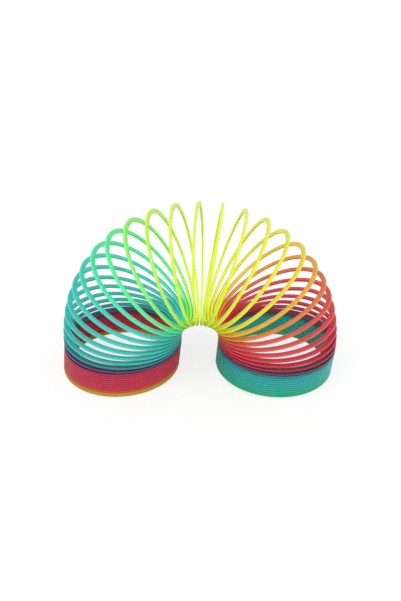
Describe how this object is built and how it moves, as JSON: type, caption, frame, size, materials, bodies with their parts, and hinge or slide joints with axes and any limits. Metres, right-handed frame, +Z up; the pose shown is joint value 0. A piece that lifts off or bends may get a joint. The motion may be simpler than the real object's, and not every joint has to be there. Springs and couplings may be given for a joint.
{
  "type": "spring coil toy",
  "caption": "Rainbow plastic coil toy standing as an arch on its two closed ends, with turns that fan open and close again.",
  "frame": {"origin": "on the surface the toy stands on, midway between its feet", "axes": "+Z up, +X from the left foot to the right foot, -Y towards the viewer"},
  "size_m": [0.1778, 0.076, 0.1114],
  "materials": {
    "gold": "gloss",
    "crimson": "gloss",
    "slate": "gloss",
    "deep_teal": "gloss",
    "teal": "gloss",
    "green": "gloss",
    "lime": "gloss",
    "yellow": "gloss",
    "orange": "gloss",
    "coral": "gloss",
    "plum": "gloss",
    "foot_teal": "gloss",
    "foot_green": "gloss"
  },
  "bodies": {
    "left_foot": {"left_foot_lower": "gold", "left_foot_middle": "crimson", "left_foot_upper": "slate"},
    "turn_01_front": {"turn_01_front": "deep_teal"},
    "turn_01_back": {"turn_01_back": "deep_teal"},
    "turn_02_front": {"turn_02_front": "deep_teal"},
    "turn_02_back": {"turn_02_back": "deep_teal"},
    "turn_03_front": {"turn_03_front": "deep_teal"},
    "turn_03_back": {"turn_03_back": "deep_teal"},
    "turn_04_front": {"turn_04_front": "teal"},
    "turn_04_back": {"turn_04_back": "teal"},
    "turn_05_front": {"turn_05_front": "teal"},
    "turn_05_back": {"turn_05_back": "teal"},
    "turn_06_front": {"turn_06_front": "teal"},
    "turn_06_back": {"turn_06_back": "teal"},
    "turn_07_front": {"turn_07_front": "teal"},
    "turn_07_back": {"turn_07_back": "teal"},
    "turn_08_front": {"turn_08_front": "teal"},
    "turn_08_back": {"turn_08_back": "teal"},
    "turn_09_front": {"turn_09_front": "teal"},
    "turn_09_back": {"turn_09_back": "teal"},
    "turn_10_front": {"turn_10_front": "green"},
    "turn_10_back": {"turn_10_back": "green"},
    "turn_11_front": {"turn_11_front": "green"},
    "turn_11_back": {"turn_11_back": "green"},
    "turn_12_front": {"turn_12_front": "green"},
    "turn_12_back": {"turn_12_back": "green"},
    "turn_13_front": {"turn_13_front": "lime"},
    "turn_13_back": {"turn_13_back": "lime"},
    "turn_14_front": {"turn_14_front": "lime"},
    "turn_14_back": {"turn_14_back": "lime"},
    "turn_15_front": {"turn_15_front": "yellow"},
    "turn_15_back": {"turn_15_back": "yellow"},
    "turn_16_front": {"turn_16_front": "yellow"},
    "turn_16_back": {"turn_16_back": "yellow"},
    "turn_17_front": {"turn_17_front": "yellow"},
    "turn_17_back": {"turn_17_back": "yellow"},
    "turn_18_front": {"turn_18_front": "orange"},
    "turn_18_back": {"turn_18_back": "orange"},
    "turn_19_front": {"turn_19_front": "orange"},
    "turn_19_back": {"turn_19_back": "orange"},
    "turn_20_front": {"turn_20_front": "orange"},
    "turn_20_back": {"turn_20_back": "orange"},
    "turn_21_front": {"turn_21_front": "coral"},
    "turn_21_back": {"turn_21_back": "coral"},
    "turn_22_front": {"turn_22_front": "coral"},
    "turn_22_back": {"turn_22_back": "coral"},
    "turn_23_front": {"turn_23_front": "coral"},
    "turn_23_back": {"turn_23_back": "coral"},
    "turn_24_front": {"turn_24_front": "coral"},
    "turn_24_back": {"turn_24_back": "coral"},
    "turn_25_front": {"turn_25_front": "crimson"},
    "turn_25_back": {"turn_25_back": "crimson"},
    "turn_26_front": {"turn_26_front": "crimson"},
    "turn_26_back": {"turn_26_back": "crimson"},
    "turn_27_front": {"turn_27_front": "crimson"},
    "turn_27_back": {"turn_27_back": "crimson"},
    "right_foot": {"right_foot_upper": "plum", "right_foot_middle": "foot_teal", "right_foot_lower": "foot_green"}
  },
  "joints": [
    {"name": "inner_flex_01", "type": "hinge", "parent": "turn_01_front", "child": "left_foot", "pos_m": [-0.01237, 0, 0.01799], "axis": [0, 1, 0], "range_deg": [0, 0.6704]},
    {"name": "outer_flex_01", "type": "hinge", "parent": "turn_01_back", "child": "turn_01_front", "pos_m": [-0.08535, 0, 0.01964], "axis": [0, 1, 0], "range_deg": [0, 1.65]},
    {"name": "inner_flex_02", "type": "hinge", "parent": "turn_02_front", "child": "turn_01_back", "pos_m": [-0.01235, 0, 0.01966], "axis": [0, 1, 0], "range_deg": [0, 1.72]},
    {"name": "outer_flex_02", "type": "hinge", "parent": "turn_02_back", "child": "turn_02_front", "pos_m": [-0.08523, 0, 0.02383], "axis": [0, 1, 0], "range_deg": [0, 2.43]},
    {"name": "inner_flex_03", "type": "hinge", "parent": "turn_03_front", "child": "turn_02_back", "pos_m": [-0.01227, 0, 0.02137], "axis": [0, 1, 0], "range_deg": [0, 2.52]},
    {"name": "outer_flex_03", "type": "hinge", "parent": "turn_03_back", "child": "turn_03_front", "pos_m": [-0.08486, 0, 0.02909], "axis": [0, 1, 0], "range_deg": [0, 3.3]},
    {"name": "inner_flex_04", "type": "hinge", "parent": "turn_04_front", "child": "turn_03_back", "pos_m": [-0.01211, 0, 0.02312], "axis": [0, 1, 0], "range_deg": [0, 3.41]},
    {"name": "outer_flex_04", "type": "hinge", "parent": "turn_04_back", "child": "turn_04_front", "pos_m": [-0.08405, 0, 0.03549], "axis": [0, 1, 0], "range_deg": [0, 4.23]},
    {"name": "inner_flex_05", "type": "hinge", "parent": "turn_05_front", "child": "turn_04_back", "pos_m": [-0.01182, 0, 0.0249], "axis": [0, 1, 0], "range_deg": [0, 4.35]},
    {"name": "outer_flex_05", "type": "hinge", "parent": "turn_05_back", "child": "turn_05_front", "pos_m": [-0.08254, 0, 0.04303], "axis": [0, 1, 0], "range_deg": [0, 5.19]},
    {"name": "inner_flex_06", "type": "hinge", "parent": "turn_06_front", "child": "turn_05_back", "pos_m": [-0.01139, 0, 0.0267], "axis": [0, 1, 0], "range_deg": [0, 5.31]},
    {"name": "outer_flex_06", "type": "hinge", "parent": "turn_06_back", "child": "turn_06_front", "pos_m": [-0.08001, 0, 0.0516], "axis": [0, 1, 0], "range_deg": [0, 6.14]},
    {"name": "inner_flex_07", "type": "hinge", "parent": "turn_07_front", "child": "turn_06_back", "pos_m": [-0.01076, 0, 0.02849], "axis": [0, 1, 0], "range_deg": [0, 6.27]},
    {"name": "outer_flex_07", "type": "hinge", "parent": "turn_07_back", "child": "turn_07_front", "pos_m": [-0.07613, 0, 0.06099], "axis": [0, 1, 0], "range_deg": [0, 7.06]},
    {"name": "inner_flex_08", "type": "hinge", "parent": "turn_08_front", "child": "turn_07_back", "pos_m": [-0.00992, 0, 0.03024], "axis": [0, 1, 0], "range_deg": [0, 7.19]},
    {"name": "outer_flex_08", "type": "hinge", "parent": "turn_08_back", "child": "turn_08_front", "pos_m": [-0.07058, 0, 0.07086], "axis": [0, 1, 0], "range_deg": [0, 7.92]},
    {"name": "inner_flex_09", "type": "hinge", "parent": "turn_09_front", "child": "turn_08_back", "pos_m": [-0.00884, 0, 0.0319], "axis": [0, 1, 0], "range_deg": [0, 8.04]},
    {"name": "outer_flex_09", "type": "hinge", "parent": "turn_09_back", "child": "turn_09_front", "pos_m": [-0.06312, 0, 0.08072], "axis": [0, 1, 0], "range_deg": [0, 8.68]},
    {"name": "inner_flex_10", "type": "hinge", "parent": "turn_10_front", "child": "turn_09_back", "pos_m": [-0.00751, 0, 0.03342], "axis": [0, 1, 0], "range_deg": [0, 8.79]},
    {"name": "outer_flex_10", "type": "hinge", "parent": "turn_10_back", "child": "turn_10_front", "pos_m": [-0.05363, 0, 0.09001], "axis": [0, 1, 0], "range_deg": [0, 9.31]},
    {"name": "inner_flex_11", "type": "hinge", "parent": "turn_11_front", "child": "turn_10_back", "pos_m": [-0.00595, 0, 0.03473], "axis": [0, 1, 0], "range_deg": [0, 9.41]},
    {"name": "outer_flex_11", "type": "hinge", "parent": "turn_11_back", "child": "turn_11_front", "pos_m": [-0.0422, 0, 0.09809], "axis": [0, 1, 0], "range_deg": [0, 9.78]},
    {"name": "inner_flex_12", "type": "hinge", "parent": "turn_12_front", "child": "turn_11_back", "pos_m": [-0.00417, 0, 0.03578], "axis": [0, 1, 0], "range_deg": [0, 9.87]},
    {"name": "outer_flex_12", "type": "hinge", "parent": "turn_12_back", "child": "turn_12_front", "pos_m": [-0.02914, 0, 0.10438], "axis": [0, 1, 0], "range_deg": [0, 10.07]},
    {"name": "inner_flex_13", "type": "hinge", "parent": "turn_13_front", "child": "turn_12_back", "pos_m": [-0.00224, 0, 0.03652], "axis": [0, 1, 0], "range_deg": [0, 10.13]},
    {"name": "outer_flex_13", "type": "hinge", "parent": "turn_13_back", "child": "turn_13_front", "pos_m": [-0.01497, 0, 0.1084], "axis": [0, 1, 0], "range_deg": [0, 10.17]},
    {"name": "bend", "type": "hinge", "parent": "turn_14_front", "child": "turn_13_back", "pos_m": [-0.0002, 0, 0.03691], "axis": [0, 1, 0], "range_deg": [0, 9.96]},
    {"name": "stretch", "type": "hinge", "parent": "turn_14_front", "child": "turn_14_back", "pos_m": [-0.00031, 0, 0.10991], "axis": [0, -1, 0], "range_deg": [0, 9.96]},
    {"name": "inner_flex_15", "type": "hinge", "parent": "turn_14_back", "child": "turn_15_front", "pos_m": [0.00187, 0, 0.03694], "axis": [0, -1, 0], "range_deg": [0, 10.17]},
    {"name": "outer_flex_15", "type": "hinge", "parent": "turn_15_front", "child": "turn_15_back", "pos_m": [0.01439, 0, 0.10886], "axis": [0, -1, 0], "range_deg": [0, 10.17]},
    {"name": "inner_flex_16", "type": "hinge", "parent": "turn_15_back", "child": "turn_16_front", "pos_m": [0.00392, 0, 0.03661], "axis": [0, -1, 0], "range_deg": [0, 10.15]},
    {"name": "outer_flex_16", "type": "hinge", "parent": "turn_16_front", "child": "turn_16_back", "pos_m": [0.02869, 0, 0.10528], "axis": [0, -1, 0], "range_deg": [0, 10.1]},
    {"name": "inner_flex_17", "type": "hinge", "parent": "turn_16_back", "child": "turn_17_front", "pos_m": [0.00587, 0, 0.03594], "axis": [0, -1, 0], "range_deg": [0, 9.94]},
    {"name": "outer_flex_17", "type": "hinge", "parent": "turn_17_front", "child": "turn_17_back", "pos_m": [0.042, 0, 0.09937], "axis": [0, -1, 0], "range_deg": [0, 9.86]},
    {"name": "inner_flex_18", "type": "hinge", "parent": "turn_17_back", "child": "turn_18_front", "pos_m": [0.00768, 0, 0.03494], "axis": [0, -1, 0], "range_deg": [0, 9.52]},
    {"name": "outer_flex_18", "type": "hinge", "parent": "turn_18_front", "child": "turn_18_back", "pos_m": [0.05376, 0, 0.09156], "axis": [0, -1, 0], "range_deg": [0, 9.42]},
    {"name": "inner_flex_19", "type": "hinge", "parent": "turn_18_back", "child": "turn_19_front", "pos_m": [0.00929, 0, 0.03367], "axis": [0, -1, 0], "range_deg": [0, 8.93]},
    {"name": "outer_flex_19", "type": "hinge", "parent": "turn_19_front", "child": "turn_19_back", "pos_m": [0.06362, 0, 0.08243], "axis": [0, -1, 0], "range_deg": [0, 8.81]},
    {"name": "inner_flex_20", "type": "hinge", "parent": "turn_19_back", "child": "turn_20_front", "pos_m": [0.01066, 0, 0.03218], "axis": [0, -1, 0], "range_deg": [0, 8.2]},
    {"name": "outer_flex_20", "type": "hinge", "parent": "turn_20_front", "child": "turn_20_back", "pos_m": [0.07145, 0, 0.0726], "axis": [0, -1, 0], "range_deg": [0, 8.08]},
    {"name": "inner_flex_21", "type": "hinge", "parent": "turn_20_back", "child": "turn_21_front", "pos_m": [0.01178, 0, 0.03054], "axis": [0, -1, 0], "range_deg": [0, 7.37]},
    {"name": "outer_flex_21", "type": "hinge", "parent": "turn_21_front", "child": "turn_21_back", "pos_m": [0.07733, 0, 0.06268], "axis": [0, -1, 0], "range_deg": [0, 7.24]},
    {"name": "inner_flex_22", "type": "hinge", "parent": "turn_21_back", "child": "turn_22_front", "pos_m": [0.01266, 0, 0.0288], "axis": [0, -1, 0], "range_deg": [0, 6.46]},
    {"name": "outer_flex_22", "type": "hinge", "parent": "turn_22_front", "child": "turn_22_back", "pos_m": [0.08149, 0, 0.05315], "axis": [0, -1, 0], "range_deg": [0, 6.33]},
    {"name": "inner_flex_23", "type": "hinge", "parent": "turn_22_back", "child": "turn_23_front", "pos_m": [0.01332, 0, 0.02702], "axis": [0, -1, 0], "range_deg": [0, 5.5]},
    {"name": "outer_flex_23", "type": "hinge", "parent": "turn_23_front", "child": "turn_23_back", "pos_m": [0.08423, 0, 0.04438], "axis": [0, -1, 0], "range_deg": [0, 5.38]},
    {"name": "inner_flex_24", "type": "hinge", "parent": "turn_23_back", "child": "turn_24_front", "pos_m": [0.01379, 0, 0.02522], "axis": [0, -1, 0], "range_deg": [0, 4.54]},
    {"name": "outer_flex_24", "type": "hinge", "parent": "turn_24_front", "child": "turn_24_back", "pos_m": [0.08589, 0, 0.03662], "axis": [0, -1, 0], "range_deg": [0, 4.42]},
    {"name": "inner_flex_25", "type": "hinge", "parent": "turn_24_back", "child": "turn_25_front", "pos_m": [0.01409, 0, 0.02343], "axis": [0, -1, 0], "range_deg": [0, 3.59]},
    {"name": "outer_flex_25", "type": "hinge", "parent": "turn_25_front", "child": "turn_25_back", "pos_m": [0.0868, 0, 0.02998], "axis": [0, -1, 0], "range_deg": [0, 3.48]},
    {"name": "inner_flex_26", "type": "hinge", "parent": "turn_25_back", "child": "turn_26_front", "pos_m": [0.01427, 0, 0.02167], "axis": [0, -1, 0], "range_deg": [0, 2.69]},
    {"name": "outer_flex_26", "type": "hinge", "parent": "turn_26_front", "child": "turn_26_back", "pos_m": [0.08722, 0, 0.02449], "axis": [0, -1, 0], "range_deg": [0, 2.6]},
    {"name": "inner_flex_27", "type": "hinge", "parent": "turn_26_back", "child": "turn_27_front", "pos_m": [0.01436, 0, 0.01996], "axis": [0, -1, 0], "range_deg": [0, 1.87]},
    {"name": "outer_flex_27", "type": "hinge", "parent": "turn_27_front", "child": "turn_27_back", "pos_m": [0.08736, 0, 0.02009], "axis": [0, -1, 0], "range_deg": [0, 1.8]},
    {"name": "inner_flex_28", "type": "hinge", "parent": "turn_27_back", "child": "right_foot", "pos_m": [0.01438, 0, 0.01828], "axis": [0, -1, 0], "range_deg": [0, 0.7509]}
  ],
  "couplings": [
    {"joint": "inner_flex_01", "follows": "bend", "ratio": 0.064994},
    {"joint": "outer_flex_01", "follows": "stretch", "ratio": 0.16131},
    {"joint": "inner_flex_02", "follows": "bend", "ratio": 0.16836},
    {"joint": "outer_flex_02", "follows": "stretch", "ratio": 0.23815},
    {"joint": "inner_flex_03", "follows": "bend", "ratio": 0.24709},
    {"joint": "outer_flex_03", "follows": "stretch", "ratio": 0.32382},
    {"joint": "inner_flex_04", "follows": "bend", "ratio": 0.33425},
    {"joint": "outer_flex_04", "follows": "stretch", "ratio": 0.41527},
    {"joint": "inner_flex_05", "follows": "bend", "ratio": 0.42682},
    {"joint": "outer_flex_05", "follows": "stretch", "ratio": 0.50945},
    {"joint": "inner_flex_06", "follows": "bend", "ratio": 0.52175},
    {"joint": "outer_flex_06", "follows": "stretch", "ratio": 0.60334},
    {"joint": "inner_flex_07", "follows": "bend", "ratio": 0.61599},
    {"joint": "outer_flex_07", "follows": "stretch", "ratio": 0.69387},
    {"joint": "inner_flex_08", "follows": "bend", "ratio": 0.70651},
    {"joint": "outer_flex_08", "follows": "stretch", "ratio": 0.77802},
    {"joint": "inner_flex_09", "follows": "bend", "ratio": 0.79026},
    {"joint": "outer_flex_09", "follows": "stretch", "ratio": 0.85273},
    {"joint": "inner_flex_10", "follows": "bend", "ratio": 0.86419},
    {"joint": "outer_flex_10", "follows": "stretch", "ratio": 0.91498},
    {"joint": "inner_flex_11", "follows": "bend", "ratio": 0.92526},
    {"joint": "outer_flex_11", "follows": "stretch", "ratio": 0.9617},
    {"joint": "inner_flex_12", "follows": "bend", "ratio": 0.97044},
    {"joint": "outer_flex_12", "follows": "stretch", "ratio": 0.98987},
    {"joint": "inner_flex_13", "follows": "bend", "ratio": 0.99553},
    {"joint": "outer_flex_13", "follows": "stretch", "ratio": 0.99947},
    {"joint": "inner_flex_15", "follows": "bend", "ratio": 1.0002},
    {"joint": "outer_flex_15", "follows": "stretch", "ratio": 0.99994},
    {"joint": "inner_flex_16", "follows": "bend", "ratio": 0.99748},
    {"joint": "outer_flex_16", "follows": "stretch", "ratio": 0.99301},
    {"joint": "inner_flex_17", "follows": "bend", "ratio": 0.9773},
    {"joint": "outer_flex_17", "follows": "stretch", "ratio": 0.96892},
    {"joint": "inner_flex_18", "follows": "bend", "ratio": 0.93566},
    {"joint": "outer_flex_18", "follows": "stretch", "ratio": 0.92566},
    {"joint": "inner_flex_19", "follows": "bend", "ratio": 0.87753},
    {"joint": "outer_flex_19", "follows": "stretch", "ratio": 0.86628},
    {"joint": "inner_flex_20", "follows": "bend", "ratio": 0.80592},
    {"joint": "outer_flex_20", "follows": "stretch", "ratio": 0.79381},
    {"joint": "inner_flex_21", "follows": "bend", "ratio": 0.7239},
    {"joint": "outer_flex_21", "follows": "stretch", "ratio": 0.71131},
    {"joint": "inner_flex_22", "follows": "bend", "ratio": 0.63449},
    {"joint": "outer_flex_22", "follows": "stretch", "ratio": 0.62181},
    {"joint": "inner_flex_23", "follows": "bend", "ratio": 0.54075},
    {"joint": "outer_flex_23", "follows": "stretch", "ratio": 0.52835},
    {"joint": "inner_flex_24", "follows": "bend", "ratio": 0.44572},
    {"joint": "outer_flex_24", "follows": "stretch", "ratio": 0.43398},
    {"joint": "inner_flex_25", "follows": "bend", "ratio": 0.35243},
    {"joint": "outer_flex_25", "follows": "stretch", "ratio": 0.34175},
    {"joint": "inner_flex_26", "follows": "bend", "ratio": 0.26394},
    {"joint": "outer_flex_26", "follows": "stretch", "ratio": 0.25468},
    {"joint": "inner_flex_27", "follows": "bend", "ratio": 0.18329},
    {"joint": "outer_flex_27", "follows": "stretch", "ratio": 0.17583},
    {"joint": "inner_flex_28", "follows": "bend", "ratio": 0.072913}
  ]
}
